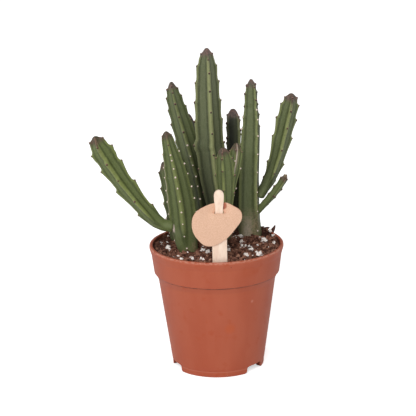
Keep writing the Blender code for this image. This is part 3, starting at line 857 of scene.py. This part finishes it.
# White grains that lie open on the soil: x, y and size.
PERLITE = (
    (-32.7, 22.4, 1.4), (-37.6, 5, 1.6), (-32.6, -5.2, 2.2), (-31.2, -8.7, 1.8), (-25.2, -25.7, 1.4),
    (-23.6, -31, 2.0), (-20.5, -26, 1.4), (-17.4, -26.2, 2.0), (-16, -29.5, 1.8), (-9, -13, 2.0),
    (-5.9, -17.6, 2.4), (-8.4, -22.7, 1.2), (-10.4, -29.9, 1.5), (7.9, -16.3, 2.4), (7.8, -2.3, 1.6),
    (16.3, 12, 2.8), (17, 1.9, 2.0), (16.8, -5.8, 1.9), (11.6, 11.8, 1.2), (10.6, 23.7, 1.4),
    (19.4, -4.9, 1.5), (21.7, -5.9, 1.6), (21.5, -9.7, 1.6), (23, -14.2, 2.0), (26.4, -18.6, 1.6),
    (19.3, -23.4, 2.4), (28.4, -24.6, 3.0), (21.4, -25.7, 1.5), (27.5, -4.9, 1.2), (30.1, 5.5, 2.2),
    (31.9, 0.9, 2.2), (33.1, -1.2, 1.8), (38.5, 11.4, 2.0), (38.5, -1.8, 1.6), (36.9, 19.7, 1.6),
)


def grain_of_perlite(number):
    if number < len(PERLITE):
        x, y, size = PERLITE[number]
        return lump_at(x, y, size * 1.25, random.uniform(0.7, 0.95), -0.1, number + 0.5)
    if number < 4 * len(PERLITE):
        x, y, size = PERLITE[number % len(PERLITE)]
        x, y = (spot + random.choice((-1.0, 1.0)) * random.uniform(0.6, 2.2) for spot in (x, y))
        return lump_at(x, y, random.triangular(0.6, 1.7, 1.0), 0.8, 0.1, number + 0.5)
    size = random.triangular(0.5, 1.7, 0.7)
    return lump_at(*soil_spot(SOIL_RADIUS - 2.0), size, random.uniform(0.6, 0.9), 0.1, number + 0.5)


def strand(number):
    """A bent fibre that lies on the soil or sticks out of it."""
    x, y = soil_spot(SOIL_RADIUS - 5.0)
    length, width = random.uniform(1.5, 8.0), random.uniform(0.08, 0.3)
    heading = random.uniform(0.0, 2.0 * pi)
    rise, bow = random.uniform(-0.05, 0.22), random.uniform(-0.3, 0.3)
    ahead = Vector((cos(heading), sin(heading), 0.0))
    aside = Vector((-sin(heading), cos(heading), 0.0))
    start = Vector((x, y, soil_height(x, y) + 0.3))
    tone = random.random()

    def placed(vert):
        along = (vert.z + 1.0) / 2.0
        curve = ahead * (along * length) + aside * (bow * length * sin(pi * along))
        lift = Vector((0.0, 0.0, rise * length * sin(0.6 * pi * along)))
        return start + curve + lift + (aside * vert.x + Vector((0.0, 0.0, vert.y))) * width, tone

    return placed


# Bark chips that stick out of the soil: foot, tip, width and tone.
CHIPS = (
    ((36.8, 24.5, 82.5), (40.6, 22.4, 90.0), 3.4, 0.1),
    ((31.0, 27.6, 84.0), (37.0, 27.2, 87.0), 4.0, 0.15),
    ((27.0, 27.0, 85.0), (33.5, 29.5, 87.0), 3.0, 0.1),
    ((13.2, -25.9, 82.2), (14.6, -23.9, 84.2), 1.7, 1.0),
    ((-31.0, 6.0, 82.5), (-27.5, 3.0, 84.5), 2.2, 0.35),
)


def chip(number):
    """A torn piece of bark, tapering to its tip."""
    if number < len(CHIPS):
        foot, tip, width, tone = CHIPS[number]
        foot, tip = Vector(foot), Vector(tip)
    else:
        x, y = soil_spot(SOIL_RADIUS - 4.0)
        heading, length = random.uniform(0.0, 2.0 * pi), random.uniform(1.8, 4.5)
        width, tone = random.uniform(0.7, 1.8), random.random()
        foot = Vector((x, y, soil_height(x, y) - 0.2))
        tip = foot + Vector((cos(heading), sin(heading), random.uniform(0.1, 0.6))) * length
    run = tip - foot
    spin = run.to_track_quat("Z", "Y").to_matrix()
    drift = Vector((number * 3.1, 2.0, 0.0))

    def placed(vert):
        rough = 1.0 + 0.7 * noise.noise(vert * 1.3 + drift)
        taper = 0.75 - 0.45 * vert.z
        across = spin @ Vector((vert.x * taper * width, vert.y * taper * width * 0.4, 0.0))
        return foot + run * (vert.z * 0.5 + 0.5) + across * rough, tone

    return placed


perlite, place = start_finish("perlite", Specular_IOR_Level=0.3)
pore = place.grain(0.5, 3.0)
stain_and_painted_shadow = place.grain(2.1, 3.0)
chalk = pore.rise(0.3, 0.5).blend(tint(236, 224, 216), tint(253, 246, 241))
chalk = (stain_and_painted_shadow.rise(0.56, 0.72) * 0.3).blend(chalk, tint(176, 146, 128))
end_finish(perlite, chalk, 0.8 + pore * 0.1, pore, 0.25)

coir, place = start_finish("coir", Specular_IOR_Level=0.25, Roughness=0.85)
tone = place.node("Attribute", {"attribute_name": "tone"}, None, "Fac")
husk = tone.blend(tint(66, 36, 27), tint(170, 118, 92))
husk = (place.grain(0.8).rise(0.4, 0.7) * 0.5).blend(husk, tint(96, 62, 47))
end_finish(coir, husk)

BALL = template(bmesh.ops.create_icosphere, subdivisions=2, radius=1.0)
SPINDLE = template(bmesh.ops.create_uvsphere, u_segments=4, v_segments=8, radius=1.0)
random.seed(5)
for name, shape, count, one, material in (
    ("soil_crumbs", BALL, 2200, crumb, peat),
    ("perlite_grains", BALL, 4 * len(PERLITE) + 70, grain_of_perlite, perlite),
    ("coir_fibres", SPINDLE, 900, strand, coir),
    ("bark_chips", BALL, len(CHIPS) + 90, chip, peat),
):
    parts = [(shape, one(number)) for number in range(count)]
    loose = finished(put_together(name, parts, ("tone",)), [material])
    if shape is BALL:
        loose.data.shade_flat()


# --- Label stick -----------------------------------------------------------------------
# A flat birch stick with a paddle head and a narrow neck, stamped from veneer and sanded,
# and pushed into the soil at the front, leaning out a little.

LABEL_LEAN = radians(9.0)
SOFT_EDGE = radians(35.0)  # edges flatter than this are shaded smooth
HARD_EDGE = radians(50.0)  # edges sharper than this are eased


def fine_copy(node, rounding):
    """A solid's mesh with its flat faces whole and its sharp edges eased."""
    work = bmesh.new()
    work.from_mesh(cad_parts[node].data)
    bmesh.ops.remove_doubles(work, verts=work.verts, dist=0.01 * MM)
    flat = {"angle_limit": radians(0.05), "verts": work.verts, "edges": work.edges}
    bmesh.ops.dissolve_limit(work, **flat)
    sharp = [edge for edge in work.edges if edge.calc_face_angle(0.0) > HARD_EDGE]
    easing = {"segments": 3, "profile": 0.5, "affect": "EDGES", "material": -1}
    bmesh.ops.bevel(work, geom=sharp, offset=rounding * MM, **easing)
    bmesh.ops.triangulate(work, faces=[face for face in work.faces if len(face.verts) > 4])
    return work


birch, place = start_finish("birch_wood", Specular_IOR_Level=0.3)
upright = place.node("Mapping", None, {"Vector": place, "Rotation": (LABEL_LEAN, 0.0, 0.0)})
vein = upright.stretched(1.0, 0.5, 0.045).grain(0.55, 5.0, 0.6, 0.3)
broad = upright.stretched(1.0, 1.0, 0.05).grain(3.0, 2.0)
pore = upright.stretched(1.0, 1.0, 0.12).grain(0.22, 2.0)
wood = broad.rise(0.35, 0.65).blend(tint(237, 209, 187), tint(246, 223, 203))
wood = (vein.rise(0.48, 0.72) * 0.5).blend(wood, tint(226, 190, 164))
wood = (pore.rise(0.62, 0.75) * 0.3).blend(wood, tint(196, 158, 132))
end_finish(birch, wood, 0.6 + vein * 0.15, vein + pore * 0.4, 0.06)
stick_body = as_mesh("stick_wood", fine_copy("label_stick", 0.15))
stick = finished(stick_body, [birch], "label_stick")
stick.data.set_sharp_from_angle(angle=SOFT_EDGE)


# --- Label card ------------------------------------------------------------------------
# A bare rounded tag die-cut from thick kraft card, its cut edge darker than its faces. It
# hangs on the stick, whose neck passes through a slit in it.

PAINTED_NECK_SHADOW = (4.3, -45.0, 123.6)  # the painted shadow of the stick's neck on the card
CUT_EDGE = 0.3  # a face that looks less than this to the front or back is the cut edge

kraft, place = start_finish("kraft_card", Specular_IOR_Level=0.2)
pulp = place.grain(0.7, 4.0, 0.7)
hair = place.stretched(1.0, 1.0, 2.4).grain(0.5, 3.0, 0.6, 1.2)
blot = place.grain(9.0, 2.0)
paper = pulp.rise(0.35, 0.65).blend(tint(217, 174, 146), tint(230, 191, 164))
paper = (hair.rise(0.60, 0.74) * 0.5).blend(paper, tint(204, 160, 132))
paper = (blot.rise(0.4, 0.7) * 0.25).blend(paper, tint(214, 172, 146))
# Painted shadow: a red-brown patch on the card right of the stick's neck.
stain_and_painted_shadow = place.distance_to(PAINTED_NECK_SHADOW).rise(3.1, 2.2)
paper = (stain_and_painted_shadow * 0.8).blend(paper, tint(156, 74, 52))
end_finish(kraft, paper, 0.78 + pulp * 0.1, pulp + hair * 0.5, 0.05)
card_edge, place = start_finish("card_edge", Specular_IOR_Level=0.2, Roughness=0.85)
ply = place.grain(0.4, 3.0)
edge_tone = ply.rise(0.4, 0.6).blend(tint(150, 92, 70), tint(176, 118, 92))
end_finish(card_edge, edge_tone, None, ply, 0.08)
work = fine_copy("label_card", 0.08)
card_front = Vector((0.0, -cos(LABEL_LEAN), sin(LABEL_LEAN)))
for face in work.faces:
    if abs(face.normal.dot(card_front)) < CUT_EDGE:
        face.material_index = 1
card = finished(as_mesh("card_tag", work), [kraft, card_edge], "label_card")
card.data.set_sharp_from_angle(angle=SOFT_EDGE)


# --- Studio ----------------------------------------------------------------------------
# A pale floor in a white room, a large soft lamp in front and above, and a strip lamp on
# each side.

WHITE = (1.0, 1.0, 1.0, 1.0)
BLACK = (0.0, 0.0, 0.0, 1.0)
ROOM_LIGHT = 0.35
FLOOR_REACH = 4.0
FLOOR_TINT = (0.92, 0.92, 0.92, 1.0)
NEAR_FILL = 0.6  # what the floor adds by the pot, for the camera alone, to come out white
FAR_FILL = 0.75  # the same in the distance, where the lamps give it less
FILL_RANGE = (150.0, 600.0)  # mm from the pot over which the one turns into the other


def softbox(name, place, aim, size, watts):
    """A rectangular lamp, its place, aim and size in metres."""
    data = bpy.data.lights.new(name, "AREA")
    data.shape = "RECTANGLE"
    data.size, data.size_y = size
    data.energy = watts
    lamp = bpy.data.objects.new(name, data)
    bpy.context.scene.collection.objects.link(lamp)
    lamp.location = place
    lamp.rotation_euler = (Vector(aim) - Vector(place)).to_track_quat("-Z", "Y").to_euler()


softbox("key_lamp", (-0.22, -1.10, 0.80), (0.0, 0.0, 0.1), (0.7, 0.7), 11.6)
softbox("left_lamp", (-0.80, 0.30, 0.30), (0.0, 0.0, 0.1), (0.3, 0.9), 2.2)
softbox("right_lamp", (0.80, 0.30, 0.30), (0.0, 0.0, 0.1), (0.3, 0.9), 1.5)

room = bpy.data.worlds.new("room")
room.use_nodes = True
bpy.context.scene.world = room
room.node_tree.nodes.clear()
air = Field(room.node_tree)
lit = air.node("Background", None, {"Color": WHITE, "Strength": ROOM_LIGHT})
seen = air.node("Background", None, {"Color": WHITE, "Strength": 1.0})
to_camera = air.node("LightPath", None, None, "Is Camera Ray")
wall = air.node("MixShader", None, {0: to_camera, 1: lit, 2: seen})
world_output = room.node_tree.nodes.new("ShaderNodeOutputWorld")
room.node_tree.links.new(wall.socket, world_output.inputs["Surface"])

work = bmesh.new()
bmesh.ops.create_grid(work, x_segments=4, y_segments=4, size=FLOOR_REACH)
floor_mesh = as_mesh("studio_floor", work)
studio_floor = bpy.data.objects.new("studio_floor", floor_mesh)
bpy.context.scene.collection.objects.link(studio_floor)
pale, place = start_finish("studio_floor", Roughness=1.0, Specular_IOR_Level=0.0)
pale_shader = pale.node_tree.nodes["Principled BSDF"]
pale_shader.inputs["Base Color"].default_value = FLOOR_TINT
pale_shader.inputs["Emission Strength"].default_value = 1.0
level = place.reach().rise(*FILL_RANGE) * (FAR_FILL - NEAR_FILL) + NEAR_FILL
fill = (place.node("LightPath", None, None, "Is Camera Ray") * level).blend(BLACK, WHITE)
pale.node_tree.links.new(fill.socket, pale_shader.inputs["Emission Color"])
floor_mesh.materials.append(pale)


# --- Camera ----------------------------------------------------------------------------
# A long lens on a tripod in front of the plant, a little above it and a hair off level.

LENS = 155.7
CAMERA_DISTANCE = 1200.0
CAMERA_PITCH = radians(16.13)
CAMERA_ROLL = radians(-1.12)
CAMERA_AIM = Vector((-5.16, 0.0, 109.19))

camera = bpy.data.objects.new("camera", bpy.data.cameras.new("camera"))
bpy.context.scene.collection.objects.link(camera)
camera.data.sensor_width = 36.0
camera.data.lens = LENS
camera.data.clip_start = 0.05
sight = Vector((0.0, cos(CAMERA_PITCH), -sin(CAMERA_PITCH)))
camera.matrix_world = (
    Matrix.Translation((CAMERA_AIM - sight * CAMERA_DISTANCE) * MM)
    @ Matrix.Rotation(pi / 2.0 - CAMERA_PITCH, 4, "X")
    @ Matrix.Rotation(CAMERA_ROLL, 4, "Z")
)
bpy.context.scene.camera = camera
bpy.context.scene.view_settings.view_transform = "Standard"
